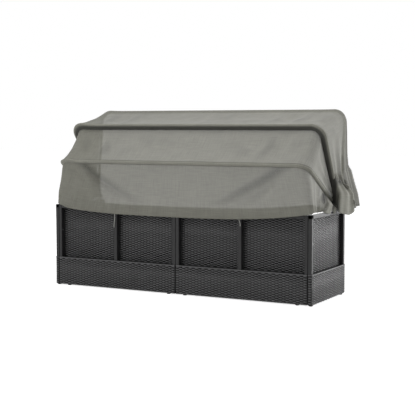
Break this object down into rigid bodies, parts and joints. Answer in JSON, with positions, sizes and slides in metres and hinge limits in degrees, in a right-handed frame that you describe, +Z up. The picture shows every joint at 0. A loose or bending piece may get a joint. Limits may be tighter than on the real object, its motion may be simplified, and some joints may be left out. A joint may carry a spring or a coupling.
{
  "type": "outdoor daybed with canopy",
  "caption": "Low woven-resin daybed in two sections with box base, cushions and a cloth canopy that folds back on nested hoops.",
  "frame": {"origin": "on the ground at the middle of the footprint", "axes": "+X along the daybed's length to the right section, +Y towards the back panels, +Z up; the open seat side faces -Y"},
  "size_m": [2.077, 0.6207, 1.2633],
  "materials": {
    "woven_resin": "satin flat strand weave",
    "frame_metal": "powder coat",
    "hoop_metal": "powder coat",
    "bolt_metal": "zinc plated",
    "foot_plastic": "matte",
    "cushion_cloth": "woven",
    "canopy_cloth": "slub weave, lets some light through",
    "tie_cloth": "flat tape"
  },
  "bodies": {
    "daybed": {"left_back_frame": "frame_metal", "left_corner_post": "frame_metal", "left_back_weave": "woven_resin", "left_back_skirt": "woven_resin", "left_arm_frame": "frame_metal", "left_arm_weave": "woven_resin", "left_arm_skirt": "woven_resin", "left_front_frame": "frame_metal", "left_front_skirt": "woven_resin", "left_seat_frame": "frame_metal", "left_seat_deck": "woven_resin", "left_seat_cushion": "cushion_cloth", "left_back_cushion_inner": "cushion_cloth", "left_back_cushion_outer": "cushion_cloth", "left_corner_bolt": "bolt_metal", "left_back_foot_inner": "foot_plastic", "left_back_foot_outer": "foot_plastic", "left_front_foot_inner": "foot_plastic", "left_front_foot_outer": "foot_plastic", "left_arm_foot_rear": "foot_plastic", "left_arm_foot_front": "foot_plastic", "left_pivot_bracket": "frame_metal", "left_pivot_bolt": "bolt_metal", "left_pivot_nut": "bolt_metal", "left_pivot_spacer": "bolt_metal", "left_canopy_tail": "canopy_cloth", "left_tie_cord": "tie_cloth", "right_back_frame": "frame_metal", "right_corner_post": "frame_metal", "right_back_weave": "woven_resin", "right_back_skirt": "woven_resin", "right_arm_frame": "frame_metal", "right_arm_weave": "woven_resin", "right_arm_skirt": "woven_resin", "right_front_frame": "frame_metal", "right_front_skirt": "woven_resin", "right_seat_frame": "frame_metal", "right_seat_deck": "woven_resin", "right_seat_cushion": "cushion_cloth", "right_back_cushion_inner": "cushion_cloth", "right_back_cushion_outer": "cushion_cloth", "right_corner_bolt": "bolt_metal", "right_back_foot_inner": "foot_plastic", "right_back_foot_outer": "foot_plastic", "right_front_foot_inner": "foot_plastic", "right_front_foot_outer": "foot_plastic", "right_arm_foot_rear": "foot_plastic", "right_arm_foot_front": "foot_plastic", "right_pivot_bracket": "frame_metal", "right_pivot_bolt": "bolt_metal", "right_pivot_nut": "bolt_metal", "right_pivot_spacer": "bolt_metal", "right_canopy_tail": "canopy_cloth", "right_tie_cord": "tie_cloth", "canopy_rear_drop": "canopy_cloth"},
    "rear_hoop": {"rear_hoop": "hoop_metal", "canopy_rear_panel": "canopy_cloth"},
    "mid_hoop": {"mid_hoop": "hoop_metal", "canopy_roof_panel": "canopy_cloth"},
    "front_hoop": {"front_hoop": "hoop_metal"}
  },
  "joints": [
    {"name": "rear_hoop_fold", "type": "hinge", "parent": "daybed", "child": "rear_hoop", "pos_m": [0, -0.23, 0.61], "axis": [1, 0, 0], "range_deg": [-25.5, 0], "deforming": ["canopy_rear_drop", "left_canopy_tail", "right_canopy_tail"]},
    {"name": "mid_hoop_fold", "type": "hinge", "parent": "rear_hoop", "child": "mid_hoop", "pos_m": [0, -0.23, 0.61], "axis": [1, 0, 0], "range_deg": [-28.5, 0], "deforming": ["canopy_rear_panel"]},
    {"name": "front_hoop_fold", "type": "hinge", "parent": "mid_hoop", "child": "front_hoop", "pos_m": [0, -0.23, 0.61], "axis": [1, 0, 0], "range_deg": [-34, 0], "deforming": ["canopy_roof_panel"]}
  ]
}
